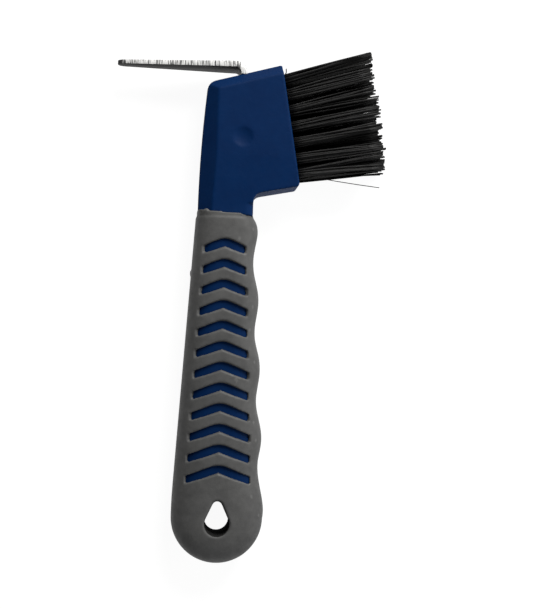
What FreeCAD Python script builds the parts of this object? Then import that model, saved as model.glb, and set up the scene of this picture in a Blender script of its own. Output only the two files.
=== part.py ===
import FreeCAD, Part
import math
import os

import Sketcher

# Hoof pick with brush, lying flat. Millimetres.
# +Y runs up the handle to the head, +X points to the brush, and +Z is normal to the broad faces.
# The origin is on the resting plane, under the centre of the hanging hole.

V = FreeCAD.Vector

DIMENSIONS = {
    # whole tool
    "body_thickness": 20.0,
    # outside of the rubber grip
    "bulb_centre_height": 1.6,
    "bulb_radius": 17.1,
    "rim_height": 115.0,
    "lip_height": 2.1,
    "lip_inset": 0.35,
    "rim_step": 0.6,
    "rim_cover": 0.2,
    "rim_tilt": 3.5,
    "rim_overlap": 0.6,
    "flank_slope": 0.0565,
    "finger_slope": 0.0505,
    "flank_blend": 12.0,
    "finger_pitch": 25.5,
    "finger_depth": 1.7,
    "first_finger_height": 6.5,
    "shoulder_height": 107.5,
    "shoulder_slope": 0.1,
    "bulb_squareness": 2.5,
    "top_squareness": 3.2,
    "rim_squareness": 6.0,
    "nub_across": 12.65,
    "nub_height": 92.2,
    "nub_radius": 0.9,
    "flash_across": 7.2,
    "flash_height": 115.3,
    "flash_level": 8.6,
    "flash_radius": 0.8,
    # stiff stem under the rubber
    "stem_top_height": 110.5,
    "stem_cover": 1.3,
    "stem_side_cover": 2.3,
    "stem_finger_cover": 2.9,
    "stem_extra_squareness": 0.6,
    "tongue_bottom_height": 107.0,
    "tongue_top_height": 120.0,
    "tongue_half_width": 8.6,
    "tongue_half_thickness": 7.7,
    "tongue_squareness": 4.0,
    # hanging hole
    "hole_radius": 4.55,
    "hole_top_radius": 1.85,
    "hole_top_height": 6.5,
    "hole_lining": 1.8,
    "hole_rim": 0.8,
    "hole_rim_flare": 1.0,
    # chevron windows
    "window_count": 12,
    "window_first_height": 21.9,
    "window_pitch": 7.58,
    "window_length": 2.9,
    "window_half_low": 11.35,
    "window_half_high": 6.05,
    "window_angle": 20.5,
    "window_soft_share": 0.22,
    "window_end_flare": 1.15,
    "window_end_depth": 3.2,
    "window_side_flare": 0.4,
    # brush head and neck
    "neck_left": 10.5,
    "neck_right": 10.05,
    "neck_corner_height": 122.0,
    "neck_thickness": 18.4,
    "neck_taper_top": 136.0,
    "neck_taper_bottom": 117.0,
    "neck_edge_radius": 3.0,
    "neck_inner_radius": 3.4,
    "head_low_corner_across": 27.05,
    "head_low_corner_height": 125.4,
    "head_low_corner_radius": 1.2,
    "head_top_corner_across": 19.25,
    "head_top_corner_height": 170.5,
    "head_left_corner_across": 7.95,
    "head_left_corner_height": 163.1,
    "head_left_corner_radius": 4.5,
    "head_back_radius": 480.0,
    "back_slope_start": 4.0,
    "back_slope_side": 10.5,
    "back_slope_depth": 4.2,
    "bevel_width": 3.5,
    "bevel_depth": 3.2,
    "dimple_across": 5.5,
    "dimple_height": 142.9,
    "dimple_radius": 3.8,
    "dimple_depth": 0.65,
    # steel hook
    "blade_tip_across": 42.0,
    "blade_top_height": 171.4,
    "blade_tip_top_height": 171.0,
    "blade_thickness": 2.1,
    "blade_tip_thickness": 1.4,
    "blade_width": 14.0,
    "blade_tip_width": 6.4,
    "blade_tip_radius": 3.0,
    "bend_radius": 4.2,
    "tang_outer_across": 6.3,
    "tang_width": 12.0,
    "tang_bottom_height": 134.0,
    "lock_hole_radius": 2.5,
    # brush
    "tuft_rows": 7,
    "tuft_first_row": 4.7,
    "tuft_row_pitch": 5.96,
    "tuft_column_pitch": 5.2,
    "tuft_radius": 2.2,
    "tuft_tip_radius": 3.1,
    "tuft_depth": 10.0,
    "tuft_free_length": 34.0,
    "tuft_angle_low": 9.4,
    "tuft_angle_high": 16.0,
    "tuft_side_fan": 2.5,
    "staple_width": 4.9,
    "staple_height": 2.0,
    "staple_thickness": 0.45,
}

# The brush's columns: name, place across the head, rows fewer than the outer ones, rows' offset.
TUFT_COLUMNS = (("back", -1, 0, 0.0), ("middle", 0, 1, 0.5), ("front", 1, 0, 0.0))
SECTION_POINTS = 10
STATIONS_PER_FINGER = 4
FUSE_TOLERANCE = 0.001
SAME_PLACE = 0.01
CLEAR = 1.0     # how far a cutter runs past the surface it opens

doc = FreeCAD.newDocument("hoof_pick")


def make_sheet():
    """The driving dimensions, one row each, with the cell's alias beside it."""
    sheet = doc.addObject("Spreadsheet::Sheet", "Dimensions")
    for row, (alias, value) in enumerate(DIMENSIONS.items(), start=1):
        sheet.set("A%d" % row, alias)
        sheet.set("B%d" % row, str(value))
        sheet.setAlias("B%d" % row, alias)
    doc.recompute()
    return sheet


sheet = make_sheet()


def size(alias):
    return float(sheet.get(alias))


def cell(alias):
    return "Dimensions." + alias


def bind(item, **expressions):
    """Ties properties of a document object to cells of the sheet."""
    for name, expression in expressions.items():
        item.setExpression(name, expression)


def lift(item):
    """Raises an object built about the middle plane, so that it rests on z = 0."""
    item.setExpression(".Placement.Base.z", cell("body_thickness") + " / 2")


def place(item, point, direction=V(0, 0, 1)):
    """Puts an object's own Z axis along a direction from a point given about the middle plane."""
    turn = FreeCAD.Rotation(V(0, 0, 1), direction)
    item.Placement = FreeCAD.Placement(point + V(0, 0, size("body_thickness") / 2), turn)


def feature(name, shape):
    """A document object for a shape made in code; it is raised to the resting height."""
    item = doc.addObject("Part::Feature", name)
    item.Shape = shape
    item.Placement = FreeCAD.Placement(V(0, 0, size("body_thickness") / 2), FreeCAD.Rotation())
    return item


def multi(kind, name, items):
    joined = doc.addObject(kind, name)
    joined.Shapes = items
    return joined


def cut(name, base, tool):
    item = doc.addObject("Part::Cut", name)
    item.Base = base
    item.Tool = tool
    return item


def origin_plane(body, role):
    return [plane for plane in body.Origin.OriginFeatures if plane.Role == role][0]


def new_sketch(body, name, role):
    sketch = body.newObject("Sketcher::SketchObject", name)
    sketch.AttachmentSupport = [(origin_plane(body, role), "")]
    sketch.MapMode = "FlatFace"
    return sketch


def closed_outline(sketch, points, middles=None):
    """Adds a closed run of lines and joins it; middles gives a point on each side that is an arc."""
    middles = middles or {}
    first = sketch.GeometryCount
    count = len(points)
    for index in range(count):
        start, end = points[index], points[(index + 1) % count]
        if index in middles:
            side = Part.Arc(start, middles[index], end)
        else:
            side = Part.LineSegment(start, end)
        sketch.addGeometry(side, False)
    for index in range(count):
        following = first + (index + 1) % count
        corner = points[(index + 1) % count]
        ends = (first + index, end_at(sketch, first + index, corner),
                following, end_at(sketch, following, corner))
        sketch.addConstraint(Sketcher.Constraint("Coincident", *ends))


def end_at(sketch, geometry, point):
    """Which end of a line or arc lies at a point: 1 for its start and 2 for its end."""
    gaps = [(sketch.getPoint(geometry, end) - point).Length for end in (1, 2)]
    return 1 if gaps[0] < gaps[1] else 2


def pin_point(sketch, geometry, point, across, height):
    """Holds the end of a side that lies at a point to cells' values from the sketch's origin."""
    end = end_at(sketch, geometry, point)
    for kind, value, expression in (("DistanceX", point.x, across),
                                    ("DistanceY", point.y, height)):
        number = sketch.addConstraint(Sketcher.Constraint(kind, -1, 1, geometry, end, value))
        sketch.setExpression("Constraints[%d]" % number, expression)


def hold_radius(sketch, geometry, expression):
    """Ties the radius of an arc or circle to cells of the sheet."""
    value = sketch.Geometry[geometry].Radius
    number = sketch.addConstraint(Sketcher.Constraint("Radius", geometry, value))
    sketch.setExpression("Constraints[%d]" % number, expression)


# ---------------------------------------------------------------- handle outlines

def rise(height, blend):
    """Distance above the bulb's centre, eased in so that the flank leaves the bulb smoothly."""
    above = max(height - size("bulb_centre_height"), 0.0)
    if above < blend:
        return above * above / (2 * blend)
    return above - blend / 2


def flank_left(height):
    return size("bulb_radius") - size("flank_slope") * rise(height, size("flank_blend"))


def flank_crests(height):
    return size("bulb_radius") - size("finger_slope") * rise(height, size("flank_blend"))


def flank_right(height):
    """The finger side: a wave that starts above the bulb, and a falling shoulder at the top."""
    above = height - size("first_finger_height")
    if above <= 0:
        return flank_crests(height)
    wave = (1 - math.cos(2 * math.pi * above / size("finger_pitch"))) / 2
    shoulder = size("shoulder_slope") * max(height - size("shoulder_height"), 0.0)
    return flank_crests(height) - size("finger_depth") * wave - shoulder


def squareness(height):
    span = size("rim_height") - size("bulb_centre_height")
    share = (height - size("bulb_centre_height")) / span
    return size("bulb_squareness") + (size("top_squareness") - size("bulb_squareness")) * share


def half_section(half_width, half_thickness, power, height, side):
    """One half of a superellipse across the handle, from the front crown to the back crown."""
    points = []
    for step in range(SECTION_POINTS + 1):
        angle = math.pi / 2 - math.pi * step / SECTION_POINTS
        across = half_width * max(math.cos(angle), 0.0) ** (2 / power)
        depth = half_thickness * abs(math.sin(angle)) ** (2 / power)
        points.append(V(side * across, height, math.copysign(depth, math.sin(angle))))
    points[0] = V(0, height, half_thickness)
    points[-1] = V(0, height, -half_thickness)
    points[SECTION_POINTS // 2] = V(side * half_width, height, 0)
    curve = Part.BSplineCurve()
    curve.interpolate(Points=points, InitialTangent=V(side, 0, 0), FinalTangent=V(-side, 0, 0))
    return curve.toShape()


def handle_section(right, left, half_thickness, power, height):
    return Part.Wire([half_section(right, half_thickness, power, height, 1),
                      half_section(left, half_thickness, power, height, -1).reversed()])


def handle_skin(right, left, half_thickness, extra_power, top):
    """A closed handle: sections lofted up from the bulb's centre, and a bulb turned below it."""
    start = size("bulb_centre_height")
    step = size("finger_pitch") / STATIONS_PER_FINGER
    stations = [start + step * index for index in range(int((top - start) / step))] + [top]
    sections = [handle_section(right(height), left(height), half_thickness,
                               squareness(height) + extra_power, height) for height in stations]
    shaft = Part.makeLoft(sections, True, False)
    profile = half_section(right(start), half_thickness, squareness(start) + extra_power, start, 1)
    closing = Part.LineSegment(V(0, start, -half_thickness), V(0, start, half_thickness)).toShape()
    disc = Part.Face(Part.Wire([profile, closing]))
    bulb = disc.revolve(V(0, start, 0), V(0, 0, 1), -180)
    skin = shaft.fuse([bulb], FUSE_TOLERANCE)
    return skin.Solids[0] if len(skin.Solids) == 1 else skin


def grip_outside():
    """The rubber's outside: the handle skin, a small step, and a sloping lip to the tilted rim."""
    half_thickness = size("body_thickness") / 2
    lip_start = size("rim_height") - size("lip_height")
    skin = handle_skin(flank_right, flank_left, half_thickness, 0.0, lip_start)
    inset = size("lip_inset")
    below = handle_section(flank_right(lip_start) - inset, flank_left(lip_start) - inset,
                           half_thickness - inset, squareness(lip_start), lip_start)
    cover = size("rim_cover")
    above = handle_section(size("neck_right") + cover, size("neck_left") + cover,
                           half_thickness - size("rim_step"), size("rim_squareness"),
                           size("rim_height"))
    above.rotate(V(0, size("rim_height"), 0), V(0, 0, 1), -size("rim_tilt"))
    lip = Part.makeLoft([below, above], True, True)
    nub = Part.makeCylinder(size("nub_radius"), size("nub_radius"),
                            V(-size("nub_across"), size("nub_height"), 0), V(1, 0, 0))
    flash = Part.makeSphere(size("flash_radius"), V(-size("flash_across"), size("flash_height"),
                                                    size("flash_level")))
    return skin.fuse([lip, nub, flash], FUSE_TOLERANCE)


def stem_skin():
    """The stiff stem inside the rubber, with no finger waves."""
    half_thickness = size("body_thickness") / 2 - size("stem_cover")
    side = size("stem_side_cover")
    finger_side = size("stem_finger_cover")
    return handle_skin(lambda height: flank_crests(height) - finger_side,
                       lambda height: flank_left(height) - side,
                       half_thickness, size("stem_extra_squareness"), size("stem_top_height"))


def tongue():
    """The plastic between the stem and the neck, thinner than both so that the rubber grips it."""
    low = size("tongue_bottom_height")
    section = handle_section(size("tongue_half_width"), size("tongue_half_width"),
                             size("tongue_half_thickness"), size("tongue_squareness"), low)
    return Part.Face(section).extrude(V(0, size("tongue_top_height") - low, 0))


# ---------------------------------------------------------------- hanging hole and windows

def teardrop(grow, depth):
    """A closed outline: a large arc below, a small arc above and the two lines that touch both."""
    big = size("hole_radius") + grow
    small = size("hole_top_radius") + grow
    top = size("hole_top_height")
    lean = math.asin((big - small) / top)
    cos_lean, sin_lean = math.cos(lean), math.sin(lean)
    right_low = V(big * cos_lean, big * sin_lean, depth)
    right_high = V(small * cos_lean, top + small * sin_lean, depth)
    left_low = V(-right_low.x, right_low.y, depth)
    left_high = V(-right_high.x, right_high.y, depth)
    edges = [Part.LineSegment(right_low, right_high),
             Part.Arc(right_high, V(0, top + small, depth), left_high),
             Part.LineSegment(left_high, left_low),
             Part.Arc(left_low, V(0, -big, depth), right_low)]
    return Part.Wire([edge.toShape() for edge in edges])


def hole_cutter(grow, rim):
    """Cuts the hanging hole right through; a rim of more than nothing flares both mouths."""
    reach = size("body_thickness")
    straight = Part.Face(teardrop(grow, -reach)).extrude(V(0, 0, 2 * reach))
    if not rim:
        return straight
    half = size("body_thickness") / 2
    mouths = []
    for side in (1, -1):
        inner = teardrop(grow, side * (half - rim))
        outer = teardrop(grow + size("hole_rim_flare") * (rim + CLEAR), side * (half + CLEAR))
        mouths.append(Part.makeLoft([inner, outer], True, True))
    return straight.fuse(mouths)


def chevron(apex, half_length, length, depth):
    """A closed chevron with a rounded upper apex and a sharp lower one."""
    drop = math.tan(math.radians(size("window_angle")))
    soft = size("window_soft_share") * half_length
    end_drop = half_length * drop
    right_soft = V(soft, apex - soft * drop, depth)
    left_soft = V(-soft, apex - soft * drop, depth)
    crown = V(0, apex - soft * drop / 2, depth)
    corners = [right_soft,
               V(half_length, apex - end_drop, depth),
               V(half_length, apex - end_drop - length, depth),
               V(0, apex - length, depth),
               V(-half_length, apex - end_drop - length, depth),
               V(-half_length, apex - end_drop, depth),
               left_soft]
    edges = [Part.LineSegment(a, b).toShape() for a, b in zip(corners, corners[1:])]
    edges.append(Part.Arc(left_soft, crown, right_soft).toShape())
    return Part.Wire(edges)


def window_cutter(number, side):
    """One window through the rubber: narrow at the stem and wider at the outer surface."""
    count = int(size("window_count"))
    share = number / (count - 1)
    low, high = size("window_half_low"), size("window_half_high")
    half_length = low + (high - low) * share
    apex = size("window_first_height") + size("window_pitch") * number
    half = size("body_thickness") / 2
    side_level = half - size("stem_cover")
    end_level = half - size("window_end_depth")
    rings = []
    for level in (end_level - CLEAR, side_level, half + CLEAR):
        grow_end = size("window_end_flare") * (level - end_level)
        grow_side = size("window_side_flare") * max(level - side_level, 0.0)
        rings.append(chevron(apex + grow_side, half_length + grow_end,
                             size("window_length") + 2 * grow_side, side * level))
    return Part.makeLoft(rings, True, True)


# ---------------------------------------------------------------- brush head and neck

def head_slab():
    """The flat slab of the head and neck, seen from the front, with its plan corners rounded."""
    body = doc.addObject("PartDesign::Body", "HeadSlab")
    sketch = new_sketch(body, "HeadOutline", "XY_Plane")
    corners = {
        "neck_foot_right": ("neck_right", foot_height("neck_right", 1), 1),
        "neck_corner": ("neck_right", cell("neck_corner_height"), 1),
        "head_low": ("head_low_corner_across", cell("head_low_corner_height"), 1),
        "head_top": ("head_top_corner_across", cell("head_top_corner_height"), 1),
        "head_left": ("head_left_corner_across", cell("head_left_corner_height"), -1),
        "neck_foot_left": ("neck_left", foot_height("neck_left", -1), -1),
    }
    names = list(corners)
    points = [V(side * size(across), float(body.evalExpression(height)))
              for across, height, side in corners.values()]
    back = names.index("head_left")
    closed_outline(sketch, points, {back: back_middle(points[back], points[back + 1])})
    for index, (across, height, side) in enumerate(corners.values()):
        sign = "" if side > 0 else "-"
        straight = index - 1 if index == back else index
        pin_point(sketch, straight, points[index], sign + cell(across), height)
    hold_radius(sketch, back, cell("head_back_radius"))
    pad = body.newObject("PartDesign::Pad", "HeadPad")
    pad.Profile = sketch
    pad.SideType = "Symmetric"
    bind(pad, Length=cell("body_thickness"))
    doc.recompute()
    base = pad
    for corner, radius_alias in (("neck_corner", "neck_inner_radius"),
                                 ("head_low", "head_low_corner_radius"),
                                 ("head_left", "head_left_corner_radius")):
        base = round_corner(body, base, points[names.index(corner)], radius_alias)
    body.Tip = base
    lift(body)
    return body


def foot_height(across, side):
    """The height of the neck's foot on one side, just under the grip's tilted rim."""
    sign = "-" if side > 0 else "+"
    level = cell("rim_height") + " - " + cell("rim_overlap")
    return "%s %s %s * tan(%s * 1 deg)" % (level, sign, cell(across), cell("rim_tilt"))


def back_middle(start, end):
    """The middle point of the slightly bulging back, an arc that bows away from the brush."""
    chord = end - start
    radius = size("head_back_radius")
    sag = radius - math.sqrt(radius * radius - chord.Length * chord.Length / 4)
    outward = V(chord.y, -chord.x).normalize()
    if outward.x > 0:
        outward = outward * -1
    return (start + end) * 0.5 + outward * sag


def round_corner(body, base, corner, radius_alias):
    """Fillets the upright edge at a corner of the slab's outline."""
    for number, edge in enumerate(base.Shape.Edges, start=1):
        middle = edge.valueAt((edge.FirstParameter + edge.LastParameter) / 2)
        if V(middle.x - corner.x, middle.y - corner.y).Length < SAME_PLACE:
            name = "Edge%d" % number
    fillet = body.newObject("PartDesign::Fillet", "Fillet_" + radius_alias)
    fillet.Base = (base, [name])
    bind(fillet, Radius=cell(radius_alias))
    doc.recompute()
    return fillet


def prism(points, direction):
    return Part.Face(Part.makePolygon(points + [points[0]])).extrude(direction)


def back_slope_cutters():
    """Slope the head's and neck's back edge on both broad faces."""
    half = size("body_thickness") / 2
    start, side, depth = size("back_slope_start"), size("back_slope_side"), size("back_slope_depth")
    slope = depth / (side - start)
    outside = size("bulb_radius")
    low, high = size("stem_top_height"), size("blade_top_height")
    solids = []
    for face in (1, -1):
        points = [V(-start, low, face * half),
                  V(-outside, low, face * (half - slope * (outside - start))),
                  V(-outside, low, face * (half + CLEAR)),
                  V(-start, low, face * (half + CLEAR))]
        solids.append(prism(points, V(0, high - low, 0)))
    return Part.makeCompound(solids)


def bevel_cutters():
    """Bevel the head's top edge on both broad faces, along its slope."""
    right = V(size("head_top_corner_across"), size("head_top_corner_height"))
    left = V(-size("head_left_corner_across"), size("head_left_corner_height"))
    along = (right - left).normalize()
    inward = V(along.y, -along.x)
    half = size("body_thickness") / 2
    start, end = left - (right - left), right + (right - left)
    solids = []
    for face in (1, -1):
        deep, clear = V(0, 0, face * (half - size("bevel_depth"))), V(0, 0, face * (half + CLEAR))
        crease = start + inward * size("bevel_width")
        points = [crease + V(0, 0, face * half), start + deep, start - inward * CLEAR + deep,
                  start - inward * CLEAR + clear, crease + clear]
        solids.append(prism(points, end - start))
    return Part.makeCompound(solids)


def neck_taper_cutters():
    """Thin the neck evenly from both faces down to the grip's rim."""
    half = size("body_thickness") / 2
    thin = size("neck_thickness") / 2
    top, bottom = size("neck_taper_top"), size("neck_taper_bottom")
    foot = size("stem_top_height")
    wide = size("head_low_corner_across") + CLEAR
    solids = []
    for face in (1, -1):
        points = [V(-wide, top, face * half), V(-wide, bottom, face * thin),
                  V(-wide, foot, face * thin), V(-wide, foot, face * (half + CLEAR)),
                  V(-wide, top, face * (half + CLEAR))]
        solids.append(prism(points, V(2 * wide, 0, 0)))
    return Part.makeCompound(solids)


def neck_edge_cutters():
    """Round the neck's two long edges on the brush side, below the head."""
    radius = size("neck_edge_radius")
    thin, half = size("neck_thickness") / 2, size("body_thickness") / 2
    foot = size("stem_top_height")
    length = size("neck_corner_height") - size("neck_inner_radius") - foot
    across = size("neck_right") - radius
    deep = half + CLEAR - thin + radius
    solids = []
    for face in (1, -1):
        low = thin - radius if face > 0 else -half - CLEAR
        block = Part.makeBox(radius + CLEAR, length, deep, V(across, foot, low))
        rod = Part.makeCylinder(radius, length, V(across, foot, face * (thin - radius)), V(0, 1, 0))
        solids.append(block.cut(rod))
    return Part.makeCompound(solids)


def dimple_cutters():
    """Shallow spherical dimples over the tang, one on each broad face."""
    radius, depth = size("dimple_radius"), size("dimple_depth")
    ball = (radius * radius + depth * depth) / (2 * depth)
    half = size("body_thickness") / 2
    centres = [V(size("dimple_across"), size("dimple_height"), face * (half - depth + ball))
               for face in (1, -1)]
    return Part.makeCompound([Part.makeSphere(ball, centre) for centre in centres])


# ---------------------------------------------------------------- steel hook

def hook_side_outline():
    """The strip seen from the front: tapered blade, bend and tang, as points and two arcs."""
    tip, top = -size("blade_tip_across"), size("blade_top_height")
    tip_top = size("blade_tip_top_height")
    outer = size("bend_radius")
    thick = size("blade_thickness")
    tang = size("tang_outer_across")
    bottom = size("tang_bottom_height")
    centre = V(tang - outer, top - outer)
    diagonal = V(math.sqrt(0.5), math.sqrt(0.5))
    points = [V(tip, tip_top), V(centre.x, top), V(tang, centre.y), V(tang, bottom),
              V(tang - thick, bottom), V(tang - thick, centre.y),
              V(centre.x, top - thick), V(tip, tip_top - size("blade_tip_thickness"))]
    middles = {1: centre + diagonal * outer, 5: centre + diagonal * (outer - thick)}
    return points, middles


def make_hook():
    """A bent steel strip: its side outline padded to width, then narrowed towards the tip."""
    body = doc.addObject("PartDesign::Body", "hook")
    sketch = new_sketch(body, "HookOutline", "XY_Plane")
    points, middles = hook_side_outline()
    closed_outline(sketch, points, middles)
    tip, tip_top = "-" + cell("blade_tip_across"), cell("blade_tip_top_height")
    tang, bottom = cell("tang_outer_across"), cell("tang_bottom_height")
    top, thick = cell("blade_top_height"), cell("blade_thickness")
    inner = tang + " - " + thick
    centre_across = tang + " - " + cell("bend_radius")
    centre_height = top + " - " + cell("bend_radius")
    pins = [(0, 0, tip, tip_top), (0, 1, centre_across, top),
            (2, 2, tang, centre_height), (2, 3, tang, bottom),
            (4, 4, inner, bottom), (4, 5, inner, centre_height),
            (6, 6, centre_across, top + " - " + thick),
            (6, 7, tip, tip_top + " - " + cell("blade_tip_thickness"))]
    for side, corner, across, height in pins:
        pin_point(sketch, side, points[corner], across, height)
    hold_radius(sketch, 1, cell("bend_radius"))
    hold_radius(sketch, 5, cell("bend_radius") + " - " + thick)
    pad = body.newObject("PartDesign::Pad", "HookStrip")
    pad.Profile = sketch
    pad.SideType = "Symmetric"
    bind(pad, Length=cell("blade_width"))
    plan = plan_cut(body)
    tang_cut = tang_side_cut(body)
    hole = lock_hole(body)
    body.Tip = hole
    doc.recompute()
    assert pad.Shape.Volume > plan.Shape.Volume > tang_cut.Shape.Volume > hole.Shape.Volume
    lift(body)
    return body


def plan_cut(body):
    """Narrows the blade towards its tip, from above, with the tip's corners rounded."""
    sketch = new_sketch(body, "BladePlan", "XZ_Plane")
    half, tip_half = size("blade_width") / 2, size("blade_tip_width") / 2
    tip, radius = -size("blade_tip_across"), size("blade_tip_radius")
    outside = half + CLEAR
    for side in (1, -1):
        arc_start = V(tip + radius, side * tip_half)
        arc_end = V(tip, side * (tip_half - radius))
        bulge = V(tip + radius * (1 - math.sqrt(0.5)),
                  side * (tip_half - radius + radius * math.sqrt(0.5)))
        closed_outline(sketch, [V(0, side * half), arc_start, arc_end,
                                V(tip - CLEAR, side * (tip_half - radius)),
                                V(tip - CLEAR, side * outside), V(0, side * outside)], {1: bulge})
    return through_pocket(body, sketch, "BladeTaper")


def tang_side_cut(body):
    """Narrows the tang that goes down into the head."""
    sketch = new_sketch(body, "TangSides", "YZ_Plane")
    half, outside = size("tang_width") / 2, size("blade_width") / 2 + CLEAR
    shoulder = size("blade_top_height") - size("bend_radius")
    top = shoulder - (outside - half) / 2
    bottom = size("tang_bottom_height") - CLEAR
    for side in (1, -1):
        closed_outline(sketch, [V(bottom, side * half), V(top, side * half),
                                V(shoulder, side * outside), V(bottom, side * outside)])
    return through_pocket(body, sketch, "TangTaper")


def lock_hole(body):
    """The hole through the tang that the plastic flows into."""
    sketch = new_sketch(body, "LockHole", "YZ_Plane")
    circle = Part.Circle(V(size("dimple_height"), 0), V(0, 0, 1), size("lock_hole_radius"))
    sketch.addGeometry(circle, False)
    hold_radius(sketch, 0, cell("lock_hole_radius"))
    return through_pocket(body, sketch, "LockHolePocket")


def through_pocket(body, sketch, name):
    pocket = body.newObject("PartDesign::Pocket", name)
    pocket.Profile = sketch
    pocket.SideType = "Symmetric"
    pocket.Type = "ThroughAll"
    doc.recompute()
    return pocket


# ---------------------------------------------------------------- tufts

def tuft_axis(row, across):
    """A tuft's foot on the brush face, and the way it points; row may be between two rows."""
    low = V(size("head_low_corner_across"), size("head_low_corner_height"))
    top = V(size("head_top_corner_across"), size("head_top_corner_height"))
    up_face = (top - low).normalize()
    foot = low + up_face * (size("tuft_first_row") + size("tuft_row_pitch") * row)
    foot.z = size("tuft_column_pitch") * across
    share = row / (size("tuft_rows") - 1)
    low_angle, high_angle = size("tuft_angle_low"), size("tuft_angle_high")
    angle = math.radians(low_angle + (high_angle - low_angle) * share)
    fan = math.radians(size("tuft_side_fan") * across)
    direction = V(math.cos(angle) * math.cos(fan), math.sin(angle) * math.cos(fan), math.sin(fan))
    return foot, direction


def make_tuft(name, row, across):
    """One bundle of filaments as a plain solid: a straight root in its hole and a flared end."""
    foot, direction = tuft_axis(row, across)
    root = doc.addObject("Part::Cylinder", name + "_root")
    bind(root, Radius=cell("tuft_radius"), Height=cell("tuft_depth"))
    place(root, foot - direction * size("tuft_depth"), direction)
    free = doc.addObject("Part::Cone", name + "_free")
    bind(free, Radius1=cell("tuft_radius"), Radius2=cell("tuft_tip_radius"),
         Height=cell("tuft_free_length"))
    place(free, foot, direction)
    staple = doc.addObject("Part::Box", name + "_staple")
    bind(staple, Length=cell("staple_thickness"), Width=cell("staple_width"),
         Height=cell("staple_height"))
    turn = FreeCAD.Rotation(V(0, 0, 1), direction)
    corner = V(-size("staple_thickness") / 2, -size("staple_width") / 2, -size("tuft_depth"))
    lifted = foot + V(0, 0, size("body_thickness") / 2)
    staple.Placement = FreeCAD.Placement(lifted + turn.multVec(corner), turn)
    whole = multi("Part::MultiFuse", name + "_whole", [root, free])
    return cut(name, whole, staple), root, staple


# ---------------------------------------------------------------- assembly

def make_all():
    nodes = {}
    hook = make_hook()
    nodes["hook"] = hook
    roots = []
    staples = []
    for column, across, fewer, offset in TUFT_COLUMNS:
        for row in range(int(size("tuft_rows")) - fewer):
            name = "tuft_%s_%d" % (column, row + 1)
            tuft, root, staple = make_tuft(name, row + offset, across)
            nodes[name] = tuft
            roots.append(root)
            staples.append(staple)
    staple_group = doc.addObject("Part::Compound", "tuft_staples")
    staple_group.Links = staples
    nodes["tuft_staples"] = staple_group

    slab = head_slab()
    trims = [feature("BackSlopes", back_slope_cutters()), feature("TopBevels", bevel_cutters()),
             feature("NeckTapers", neck_taper_cutters()), feature("NeckEdges", neck_edge_cutters()),
             feature("Dimples", dimple_cutters())]
    head = slab
    for trim in trims:
        head = cut("Head_after_" + trim.Name, head, trim)
    stem = feature("Stem", stem_skin())
    neck_tongue = feature("Tongue", tongue())
    blank = multi("Part::MultiFuse", "CoreBlank", [head, neck_tongue, stem])
    core_hole = feature("CoreHole", hole_cutter(size("hole_lining"), 0))
    pockets = doc.addObject("Part::Compound", "TuftHoles")
    pockets.Links = roots
    drilled = cut("CoreWithHole", blank, core_hole)
    drilled = cut("CoreWithTuftHoles", drilled, pockets)
    drilled = cut("CoreWithStaples", drilled, staple_group)
    core = cut("handle_core", drilled, hook)
    nodes["handle_core"] = core

    outside = feature("GripOutside", grip_outside())
    hollow = cut("GripOverStem", outside, cut("StemForGrip", blank, core_hole))
    windows = feature("Windows", Part.makeCompound(
        [window_cutter(number, side) for number in range(int(size("window_count")))
         for side in (1, -1)]))
    opened = cut("GripWithWindows", hollow, windows)
    nodes["grip"] = cut("grip", opened, feature("HangingHole", hole_cutter(0, size("hole_rim"))))
    return nodes


def check(nodes):
    """Stops if any document object failed, or if a piece is not the solids it should be."""
    for item in doc.Objects:
        if "Invalid" in item.State or "Error" in item.State:
            raise RuntimeError("%s failed: %s" % (item.Name, item.State))
    staple_count = len([name for name in nodes if name.startswith("tuft_")]) - 1
    for name, item in nodes.items():
        shape = item.Shape
        solids = len(shape.Solids)
        expected = staple_count if name == "tuft_staples" else 1
        print("%-14s solids %d volume %.1f valid %s" % (name, solids, shape.Volume, shape.isValid()))
        if shape.isNull() or not shape.isValid() or solids != expected:
            raise RuntimeError("%s is not sound" % name)


def export(nodes):
    os.makedirs("parts", exist_ok=True)
    for name, item in nodes.items():
        item.Label = name
        item.Shape.exportStep("parts/%s.step" % name)


nodes = make_all()
doc.recompute()
check(nodes)
export(nodes)
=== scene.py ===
import math
import random

import bmesh
import bpy
from mathutils import Matrix, Vector


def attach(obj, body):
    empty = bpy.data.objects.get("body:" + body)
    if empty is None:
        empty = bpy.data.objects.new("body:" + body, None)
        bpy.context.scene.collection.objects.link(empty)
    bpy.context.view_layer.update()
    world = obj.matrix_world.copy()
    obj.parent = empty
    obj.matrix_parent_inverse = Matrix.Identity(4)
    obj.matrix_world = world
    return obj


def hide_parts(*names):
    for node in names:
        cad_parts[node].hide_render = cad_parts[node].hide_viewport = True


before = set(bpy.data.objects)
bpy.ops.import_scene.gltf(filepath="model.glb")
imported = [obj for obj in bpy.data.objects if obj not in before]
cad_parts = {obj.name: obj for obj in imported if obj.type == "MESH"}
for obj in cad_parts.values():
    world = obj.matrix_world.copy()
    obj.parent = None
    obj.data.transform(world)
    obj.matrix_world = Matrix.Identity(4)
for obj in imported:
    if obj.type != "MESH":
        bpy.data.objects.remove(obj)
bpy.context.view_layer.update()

BODY = "root"
MM = 0.001
SAME_POINT = 0.002 * MM         # vertices closer than this are one vertex


# ---------------------------------------------------------------- camera, light and floor

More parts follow.
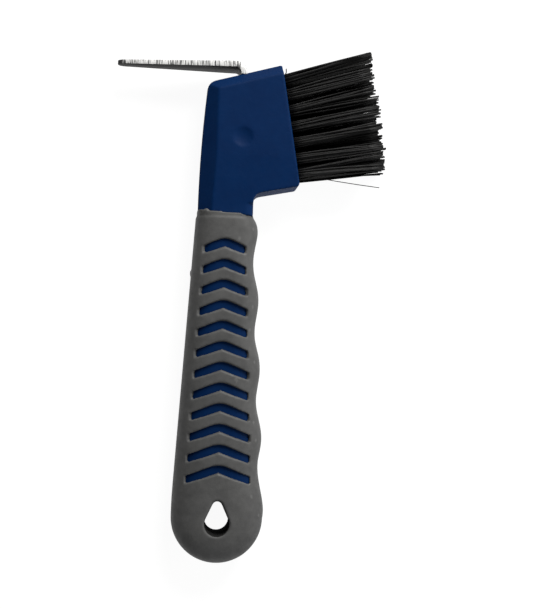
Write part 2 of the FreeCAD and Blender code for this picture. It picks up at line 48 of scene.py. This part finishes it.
def look_camera():
    """Looks down at the tool from half a metre, from a little to the hook's side of the handle."""
    data = bpy.data.cameras.new("camera")
    camera = bpy.data.objects.new("camera", data)
    bpy.context.scene.collection.objects.link(camera)
    bpy.context.scene.camera = camera
    place = Vector((-9.4, 71.1, 505.0)) * MM
    target = Vector((16.4, 81.4, 10.0)) * MM
    lean = math.radians(1.7)
    up = Vector((-math.sin(lean), math.cos(lean), 0))
    back = (place - target).normalized()
    right = up.cross(back).normalized()
    up = back.cross(right)
    turn = Matrix((right, up, back)).transposed()
    camera.matrix_world = Matrix.Translation(place) @ turn.to_4x4()
    data.sensor_width = 36.0
    data.lens = 78.0
    data.clip_start = 0.01
    data.clip_end = 10.0


def area_light(name, place, target, width, power, colour=(1, 1, 1)):
    data = bpy.data.lights.new(name, "AREA")
    data.shape = "SQUARE"
    data.size = width
    data.energy = power
    data.color = colour
    light = bpy.data.objects.new(name, data)
    bpy.context.scene.collection.objects.link(light)
    place, target = Vector(place), Vector(target)
    light.location = place
    light.rotation_mode = "QUATERNION"
    light.rotation_quaternion = (target - place).to_track_quat("-Z", "Y")


def make_floor():
    """A wide pale floor that glows a little, so that shadows on it stay faint."""
    size = 12.0
    mesh = bpy.data.meshes.new("floor")
    mesh.from_pydata([(-size, -size, 0), (size, -size, 0), (size, size, 0), (-size, size, 0)],
                     [], [(0, 1, 2, 3)])
    floor = bpy.data.objects.new("floor", mesh)
    bpy.context.scene.collection.objects.link(floor)
    paint = bpy.data.materials.new("floor_paint")
    paint.use_nodes = True
    shader = paint.node_tree.nodes["Principled BSDF"]
    shader.inputs["Base Color"].default_value = (0.13, 0.13, 0.13, 1)
    shader.inputs["Roughness"].default_value = 0.9
    shader.inputs["Specular IOR Level"].default_value = 0.1
    shader.inputs["Emission Color"].default_value = (1, 1, 1, 1)
    shader.inputs["Emission Strength"].default_value = 0.94
    mesh.materials.append(paint)


def make_lights():
    """A soft key past the head, a weaker light on the brush's side and a fill past the bulb."""
    centre = (0.01, 0.08, 0.01)
    area_light("key", (0.29, 0.76, 0.53), centre, 0.45, 11.0, (1.0, 0.99, 0.97))
    area_light("side", (0.80, -0.10, 0.45), centre, 0.6, 2.2)
    area_light("fill", (0.10, -0.80, 0.50), centre, 0.7, 1.3, (0.96, 0.98, 1.0))


def make_surround():
    """An even white surround, which looks paler than the light that it gives."""
    world = bpy.data.worlds.new("surround")
    world.use_nodes = True
    background = world.node_tree.nodes["Background"]
    background.inputs["Color"].default_value = (1, 1, 1, 1)
    seen = world.node_tree.nodes.new("ShaderNodeLightPath").outputs["Is Camera Ray"]
    strength = world.node_tree.nodes.new("ShaderNodeMapRange")
    strength.inputs["To Min"].default_value = 0.10
    strength.inputs["To Max"].default_value = 0.93
    world.node_tree.links.new(seen, strength.inputs["Value"])
    world.node_tree.links.new(strength.outputs["Result"], background.inputs["Strength"])
    bpy.context.scene.world = world
    bpy.context.scene.view_settings.view_transform = "Standard"


look_camera()
make_floor()
make_lights()
make_surround()


# ---------------------------------------------------------------- material helpers

class Paint:
    """A material's node tree with short calls for the nodes that the finishes share."""

    def __init__(self, name):
        self.material = bpy.data.materials.new(name)
        self.material.use_nodes = True
        self.nodes = self.material.node_tree.nodes
        self.links = self.material.node_tree.links
        self.shader = self.nodes["Principled BSDF"]
        self.place = self.nodes.new("ShaderNodeTexCoord").outputs["Object"]

    def set(self, **values):
        for name, value in values.items():
            self.shader.inputs[name.replace("_", " ")].default_value = value

    def join(self, source, target):
        self.links.new(source, target)

    def stretched(self, scale):
        node = self.nodes.new("ShaderNodeMapping")
        node.inputs["Scale"].default_value = scale
        self.join(self.place, node.inputs["Vector"])
        return node.outputs["Vector"]

    def noise(self, scale, detail=3.0, vector=None):
        node = self.nodes.new("ShaderNodeTexNoise")
        node.inputs["Scale"].default_value = scale
        node.inputs["Detail"].default_value = detail
        node.inputs["Roughness"].default_value = 0.55
        self.join(vector if vector is not None else self.place, node.inputs["Vector"])
        return node.outputs["Fac"]

    def ramp(self, value, stops):
        """Blends from one colour to another between two stops, each a position and a colour."""
        node = self.nodes.new("ShaderNodeValToRGB")
        for element, (position, colour) in zip(node.color_ramp.elements, stops):
            element.position = position
            element.color = (*colour, 1)
        self.join(value, node.inputs["Fac"])
        return node.outputs["Color"]

    def grey(self, value, low, high, start=0.3, end=0.7):
        """Runs from low to high while the value goes from start to end."""
        node = self.nodes.new("ShaderNodeMapRange")
        node.inputs["From Min"].default_value = start
        node.inputs["From Max"].default_value = end
        node.inputs["To Min"].default_value = low
        node.inputs["To Max"].default_value = high
        self.join(value, node.inputs["Value"])
        return node.outputs["Result"]

    def blend(self, factor, first, second):
        node = self.nodes.new("ShaderNodeMix")
        node.data_type = "RGBA"
        for socket, value in ((node.inputs[0], factor), (node.inputs[6], first),
                              (node.inputs[7], second)):
            if isinstance(value, (int, float)):
                socket.default_value = value
            elif isinstance(value, tuple):
                socket.default_value = (*value, 1)
            else:
                self.join(value, socket)
        return node.outputs[2]

    def maths(self, operation, first, second=0.0):
        node = self.nodes.new("ShaderNodeMath")
        node.operation = operation
        for socket, value in zip(node.inputs, (first, second)):
            if isinstance(value, float):
                socket.default_value = value
            else:
                self.join(value, socket)
        return node.outputs["Value"]

    def edges(self):
        """Above a half on convex edges, and below it in hollows."""
        return self.nodes.new("ShaderNodeNewGeometry").outputs["Pointiness"]

    def upright(self):
        """One on the broad faces, which look up or down, and zero on the sides."""
        split = self.nodes.new("ShaderNodeSeparateXYZ")
        self.join(self.nodes.new("ShaderNodeNewGeometry").outputs["True Normal"],
                  split.inputs["Vector"])
        return self.maths("ABSOLUTE", split.outputs["Z"])

    def bump(self, layers):
        """Stacks bumps, each a height and its depth in metres, and joins the last to the shader."""
        normal = None
        for height, depth in layers:
            node = self.nodes.new("ShaderNodeBump")
            node.inputs["Strength"].default_value = 1.0
            node.inputs["Distance"].default_value = depth
            self.join(height, node.inputs["Height"])
            if normal is not None:
                self.join(normal, node.inputs["Normal"])
            normal = node.outputs["Normal"]
        self.join(normal, self.shader.inputs["Normal"])


def blue_plastic():
    """Dark blue moulded polypropylene with a fine spark texture, flow marks and painted highlights
    on its convex edges.
    """
    paint = Paint("blue_polypropylene")
    mottle = paint.noise(180.0, 4.0)
    flow = paint.noise(40.0, 3.0, vector=paint.stretched((1.0, 0.25, 1.0)))
    base = paint.ramp(paint.blend(0.5, mottle, flow),
                      [(0.30, (0.0006, 0.0125, 0.058)), (0.70, (0.0012, 0.0180, 0.076))])
    # Painted highlight: the convex edges are painted a paler blue.
    painted_edge_highlight = paint.grey(paint.edges(), 0.0, 0.6, 0.52, 0.60)
    colour = paint.blend(painted_edge_highlight, base, (0.006, 0.036, 0.12))
    paint.join(colour, paint.shader.inputs["Base Color"])
    fine = paint.noise(2600.0, 2.0)
    paint.join(paint.grey(paint.noise(500.0), 0.46, 0.60), paint.shader.inputs["Roughness"])
    sheen = paint.grey(paint.upright(), 0.015, 0.065, 0.2, 0.9)
    paint.join(sheen, paint.shader.inputs["Specular IOR Level"])
    paint.bump([(fine, 0.00003), (paint.noise(700.0), 0.00004)])
    return paint.material


def painted_hole_shade(paint):
    """A mask for painted shade: one on the wall of the hanging hole, which runs round the Z axis,
    and zero elsewhere.
    """
    all_shade, no_shade = 7.6 * MM, 8.6 * MM
    squash = (1.0, 0.8, 0.0)    # the hole is taller than it is wide
    from_axis = paint.nodes.new("ShaderNodeVectorMath")
    from_axis.operation = "LENGTH"
    paint.join(paint.stretched(squash), from_axis.inputs[0])
    near = paint.grey(from_axis.outputs["Value"], 1.0, 0.0, all_shade, no_shade)
    steep = paint.grey(paint.upright(), 1.0, 0.0, 0.25, 0.60)
    return paint.maths("MULTIPLY", near, steep)


def grey_rubber():
    """Dark grey thermoplastic rubber: matt and softly mottled, with painted highlights on its
    raised edges and painted shade on the wall of the hanging hole.
    """
    paint = Paint("grey_rubber")
    mottle = paint.blend(0.45, paint.noise(90.0, 4.0), paint.noise(420.0, 3.0))
    base = paint.ramp(mottle, [(0.34, (0.063, 0.063, 0.063)), (0.66, (0.092, 0.092, 0.091))])
    # Painted highlight: the raised edges and the lips of the windows are painted a paler grey.
    painted_lip_highlight = paint.grey(paint.edges(), 0.0, 0.35, 0.515, 0.60)
    colour = paint.blend(painted_lip_highlight, base, (0.17, 0.17, 0.168))
    # Painted shade: the wall of the hanging hole is painted near black, and its sheen is taken
    # away.
    hole_shade = painted_hole_shade(paint)
    colour = paint.blend(hole_shade, colour, (0.018, 0.018, 0.018))
    paint.join(colour, paint.shader.inputs["Base Color"])
    paint.join(paint.grey(paint.noise(300.0), 0.50, 0.62), paint.shader.inputs["Roughness"])
    sheen = paint.grey(paint.upright(), 0.10, 0.28, 0.1, 0.9)
    unshaded = paint.maths("SUBTRACT", 1.0, hole_shade)
    paint.join(paint.maths("MULTIPLY", sheen, unshaded), paint.shader.inputs["Specular IOR Level"])
    paint.bump([(paint.noise(1900.0, 2.0), 0.00004), (paint.noise(420.0), 0.00004)])
    return paint.material


def hook_steel():
    """Steel strip: dark scale on its broad faces, and bright shear marks on its cut edges."""
    paint = Paint("hook_steel")
    on_edge = paint.grey(paint.upright(), 0.0, 1.0, 0.6, 0.8)
    shear = paint.noise(2400.0, 2.0, vector=paint.stretched((1.0, 0.08, 0.25)))
    rolled = paint.noise(1500.0, 3.0, vector=paint.stretched((0.04, 0.04, 1.0)))
    marks = paint.blend(on_edge, rolled, shear)
    sheared = paint.ramp(marks, [(0.42, (0.10, 0.10, 0.10)), (0.54, (0.80, 0.80, 0.79))])
    along = paint.nodes.new("ShaderNodeSeparateXYZ")
    paint.join(paint.place, along.inputs["Vector"])
    tip_end, tip_start = -41.0 * MM, -38.5 * MM
    tip = paint.grey(along.outputs["X"], 1.0, 0.0, tip_end, tip_start)
    bright = paint.blend(tip, sheared, (0.03, 0.03, 0.03))
    scale = paint.ramp(rolled, [(0.3, (0.008, 0.008, 0.008)), (0.7, (0.018, 0.018, 0.017))])
    paint.join(paint.blend(on_edge, scale, bright), paint.shader.inputs["Base Color"])
    paint.join(paint.grey(marks, 0.55, 0.40), paint.shader.inputs["Roughness"])
    paint.join(paint.grey(on_edge, 0.03, 0.30, 0.0, 1.0), paint.shader.inputs["Specular IOR Level"])
    paint.set(Metallic=0.1)
    paint.bump([(marks, 0.00008)])
    return paint.material


def bristle_black():
    """Black nylon filament with a soft sheen, and painted shade deep inside the brush: the
    filaments there are painted darker and duller.
    """
    paint = Paint("bristle_black")
    split = paint.nodes.new("ShaderNodeSeparateXYZ")
    paint.join(paint.place, split.inputs["Vector"])
    deep_level, top_level = 11.5 * MM, 16.0 * MM
    # Painted shade: filaments low in the brush are painted darker and given less sheen.
    shallow = paint.grey(split.outputs["Z"], 0.0, 1.0, deep_level, top_level)
    along = paint.noise(260.0, 2.0)
    painted_deep_shade = paint.ramp(along, [(0.3, (0.0012, 0.0012, 0.0012)), (0.7, (0.0026, 0.0026, 0.0026))])
    near = paint.ramp(along, [(0.3, (0.0040, 0.0040, 0.0041)), (0.7, (0.0100, 0.0100, 0.0100))])
    paint.join(paint.blend(shallow, painted_deep_shade, near), paint.shader.inputs["Base Color"])
    paint.join(paint.grey(paint.noise(900.0), 0.45, 0.60), paint.shader.inputs["Roughness"])
    paint.join(paint.grey(shallow, 0.06, 0.24, 0.0, 1.0),
               paint.shader.inputs["Specular IOR Level"])
    paint.bump([(paint.noise(3000.0, 2.0), 0.00002)])
    return paint.material


def staple_wire():
    """Bright drawn wire."""
    paint = Paint("staple_wire")
    drawn = paint.noise(1500.0, 2.0, vector=paint.stretched((1.0, 0.1, 0.1)))
    paint.join(paint.ramp(drawn, [(0.3, (0.35, 0.34, 0.32)), (0.7, (0.60, 0.59, 0.56))]),
               paint.shader.inputs["Base Color"])
    paint.join(paint.grey(drawn, 0.30, 0.45), paint.shader.inputs["Roughness"])
    paint.set(Metallic=1.0)
    paint.bump([(drawn, 0.00003)])
    return paint.material


BLUE, RUBBER, STEEL = blue_plastic(), grey_rubber(), hook_steel()
BLACK, WIRE = bristle_black(), staple_wire()


# ---------------------------------------------------------------- soft-edged mouldings

def copy_node(node, name):
    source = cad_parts[node]
    piece = bpy.data.objects.new(name, source.data.copy())
    piece.matrix_world = source.matrix_world
    bpy.context.scene.collection.objects.link(piece)
    return piece


def apply_modifiers(piece):
    bpy.context.view_layer.update()
    graph = bpy.context.evaluated_depsgraph_get()
    mesh = bpy.data.meshes.new_from_object(piece.evaluated_get(graph))
    piece.modifiers.clear()
    piece.data = mesh


def paint_smooth(piece, material):
    piece.data.materials.clear()
    piece.data.materials.append(material)
    for face in piece.data.polygons:
        face.use_smooth = True
        face.material_index = 0


def stand_for(piece, node):
    """Puts a piece in a node's place, on the one body."""
    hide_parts(node)
    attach(piece, BODY)


VOXEL, KEPT_FACES = ((0.42 * MM, 0.7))
EASE, RESTORE = 0.55, -0.50     # each pass rounds the edges, and then pushes the shape back out


def moulded(node, name, passes, material):
    """Stands for a node with the same shape, its sharp CAD edges eased as moulding leaves them."""
    piece = copy_node(node, name)
    weld = piece.modifiers.new("weld", "WELD")
    weld.merge_threshold = SAME_POINT
    remesh = piece.modifiers.new("remesh", "REMESH")
    remesh.mode = "VOXEL"
    remesh.voxel_size = VOXEL
    remesh.adaptivity = 0.0
    for number in range(passes):
        for step, factor in (("ease", EASE), ("restore", RESTORE)):
            smooth = piece.modifiers.new("%s_%d" % (step, number), "SMOOTH")
            smooth.factor = factor
            smooth.iterations = 1
    if KEPT_FACES < 1:
        thin = piece.modifiers.new("thin", "DECIMATE")
        thin.ratio = KEPT_FACES
    apply_modifiers(piece)
    paint_smooth(piece, material)
    stand_for(piece, node)


moulded("handle_core", "head_and_stem", 4, BLUE)
moulded("grip", "rubber_grip", 7, RUBBER)


def make_hook():
    """The strip with its sheared edges slightly broken."""
    piece = copy_node("hook", "steel_hook")
    mesh = bmesh.new()
    mesh.from_mesh(piece.data)
    bmesh.ops.remove_doubles(mesh, verts=mesh.verts, dist=SAME_POINT)
    bmesh.ops.dissolve_limit(mesh, angle_limit=math.radians(1.0), verts=mesh.verts,
                             edges=mesh.edges)
    mesh.to_mesh(piece.data)
    mesh.free()
    bevel = piece.modifiers.new("bevel", "BEVEL")
    bevel.width = 0.22 * MM
    bevel.segments = 2
    bevel.limit_method = "ANGLE"
    bevel.angle_limit = math.radians(40)
    apply_modifiers(piece)
    paint_smooth(piece, STEEL)
    piece.data.set_sharp_from_angle(angle=math.radians(30))
    stand_for(piece, "hook")


make_hook()

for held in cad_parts["tuft_staples"].material_slots:
    held.material = WIRE


# ---------------------------------------------------------------- tufts of filaments

# The holes in the brush face, in millimetres and degrees.
BRUSH_LOW, BRUSH_TOP = Vector((27.05, 125.4, 0)), Vector((19.25, 170.5, 0))
MIDDLE_LEVEL = 10.0
FIRST_ROW, ROW_PITCH, COLUMN_PITCH = 4.7, 5.96, 5.2
LOWEST_ANGLE, ANGLE_RANGE, SIDE_FAN = 9.4, 6.6, 2.5
ROWS = 7
# The brush's columns: name, place across the head, rows fewer than the outer ones, rows' offset.
COLUMNS = (("back", -1, 0, 0.0), ("middle", 0, 1, 0.5), ("front", 1, 0, 0.0))

# One tuft. Lengths are in millimetres.
FILAMENTS = 24
FILAMENT_RADIUS, RADIUS_SPREAD = 0.34, 0.15
ROOT_RADIUS, ROOT_DEPTH = 1.9, 1.5
GOLDEN_TURN = 2.399963          # spreads the roots evenly over the tuft
REACH, OUTERMOST_REACH = 33.4, 33.0
REACH_SPREAD, LENGTH_SPREAD = 0.5, 0.7
LEAN_PER_ROW = -0.3             # above the middle row
CLUMPS = 5
CLUMP_SIDEWAYS, CLUMP_UPWARDS = 0.85, 0.7
CLUMP_SHORTER, CLUMP_LONGER = -1.2, 0.7
GATHER = 0.75                   # how much of the root's pattern is left at the tip
LOOSENESS = 0.3                 # how far filaments stray from their clump
BOW = 0.2                       # how far a filament bows out between its ends
STRAY_SHARE, STRAY_SIDEWAYS, STRAY_UPWARDS = 0.06, 2.0, 1.0
PARTING = 1.2                   # above one, the filaments part later along their length
SIDES = 6
RINGS = 8
FIRST_SEED = 500

# Filaments that have sprung out of their tufts: a path and a radius, in millimetres.
STRAYS = {
    "tuft_front_1": [([(27.0, 129.3, 13.5), (34.0, 129.3, 13.6), (41.0, 128.3, 13.4),
                       (49.0, 127.4, 12.8), (57.5, 126.6, 12.0)], 0.16)],
    "tuft_front_7": [([(20.4, 166.8, 15.6), (20.9, 168.0, 16.2), (20.8, 169.2, 16.8)], 0.2)],
}


def tuft_line(row, across):
    """A tuft's foot on the brush face and its direction, as the holes are drilled."""
    up_face = (BRUSH_TOP - BRUSH_LOW).normalized()
    foot = BRUSH_LOW + up_face * (FIRST_ROW + ROW_PITCH * row)
    foot.z = MIDDLE_LEVEL + COLUMN_PITCH * across
    angle = math.radians(LOWEST_ANGLE + ANGLE_RANGE * row / (ROWS - 1))
    fan = math.radians(SIDE_FAN * across)
    direction = Vector((math.cos(angle) * math.cos(fan), math.sin(angle) * math.cos(fan),
                        math.sin(fan)))
    return foot * MM, direction


def add_filament(mesh, path, radius):
    """A closed tube along a path, with flat cut ends."""
    rings = []
    for index, point in enumerate(path):
        before, after = path[max(index - 1, 0)], path[min(index + 1, len(path) - 1)]
        along = (after - before).normalized()
        side = along.orthogonal().normalized()
        other = along.cross(side)
        rings.append([mesh.verts.new(point + (side * math.cos(turn) + other * math.sin(turn))
                                     * radius)
                      for turn in (2 * math.pi * k / SIDES for k in range(SIDES))])
    for lower, upper in zip(rings, rings[1:]):
        for k in range(SIDES):
            n = (k + 1) % SIDES
            mesh.faces.new((lower[k], lower[n], upper[n], upper[k]))
    mesh.faces.new(list(reversed(rings[0])))
    mesh.faces.new(rings[-1])


def filament_path(foot, direction, root, tip, bow, length):
    """Points along one filament, from inside its hole to its tip."""
    side = direction.cross(Vector((0, 0, 1))).normalized()
    up = side.cross(direction).normalized()
    depth = ROOT_DEPTH * MM
    path = []
    for ring in range(RINGS):
        share = ring / (RINGS - 1)
        shift = root.lerp(tip, share ** PARTING) + bow * math.sin(math.pi * share)
        path.append(foot + direction * (-depth + (length + depth) * share)
                    + (side * shift.x + up * shift.y) * MM)
    return path


def make_tuft(name, row, across, seed):
    """One tuft: filaments from a tight round root that part into a few clumps at their ends."""
    draw = random.Random(seed)
    foot, direction = tuft_line(row, across)
    clumps = [(draw.gauss(0, CLUMP_SIDEWAYS), draw.gauss(0, CLUMP_UPWARDS),
               draw.uniform(CLUMP_SHORTER, CLUMP_LONGER)) for _ in range(CLUMPS)]
    outermost = row in (0, ROWS - 1)
    reach = OUTERMOST_REACH if outermost else REACH
    reach = (reach + draw.uniform(-REACH_SPREAD, REACH_SPREAD)) * MM
    lean = Vector((LEAN_PER_ROW * max(row - ROWS // 2, 0), 0))
    mesh = bmesh.new()
    for number in range(FILAMENTS):
        spot = math.sqrt((number + 0.5) / FILAMENTS) * ROOT_RADIUS
        turn = number * GOLDEN_TURN
        root = Vector((spot * math.cos(turn), spot * math.sin(turn)))
        clump = clumps[int(CLUMPS * (turn / (2 * math.pi) % 1.0))]
        spread = Vector((clump[0] + draw.gauss(0, LOOSENESS), clump[1] + draw.gauss(0, LOOSENESS)))
        tip = root * GATHER + lean + spread
        if draw.random() < STRAY_SHARE:
            tip += Vector((draw.uniform(-STRAY_SIDEWAYS, STRAY_SIDEWAYS),
                           draw.uniform(-STRAY_UPWARDS, STRAY_UPWARDS)))
        length = reach + (clump[2] + draw.uniform(-LENGTH_SPREAD, LENGTH_SPREAD)) * MM
        bow = Vector((draw.gauss(0, BOW), draw.gauss(0, BOW)))
        path = filament_path(foot, direction, root, tip, bow, length)
        thickness = draw.uniform(1 - RADIUS_SPREAD, 1 + RADIUS_SPREAD)
        add_filament(mesh, path, FILAMENT_RADIUS * MM * thickness)
    for path, radius in STRAYS.get(name, ()):
        add_filament(mesh, [Vector(point) * MM for point in path], radius * MM)
    data = bpy.data.meshes.new(name + "_filaments")
    mesh.to_mesh(data)
    mesh.free()
    for face in data.polygons:
        face.use_smooth = len(face.vertices) == 4
    data.materials.append(BLACK)
    piece = bpy.data.objects.new(name + "_filaments", data)
    bpy.context.scene.collection.objects.link(piece)
    stand_for(piece, name)


for column, across, fewer, offset in COLUMNS:
    for row in range(ROWS - fewer):
        name = "tuft_%s_%d" % (column, row + 1)
        make_tuft(name, row + offset, across, FIRST_SEED + 100 * across + row)
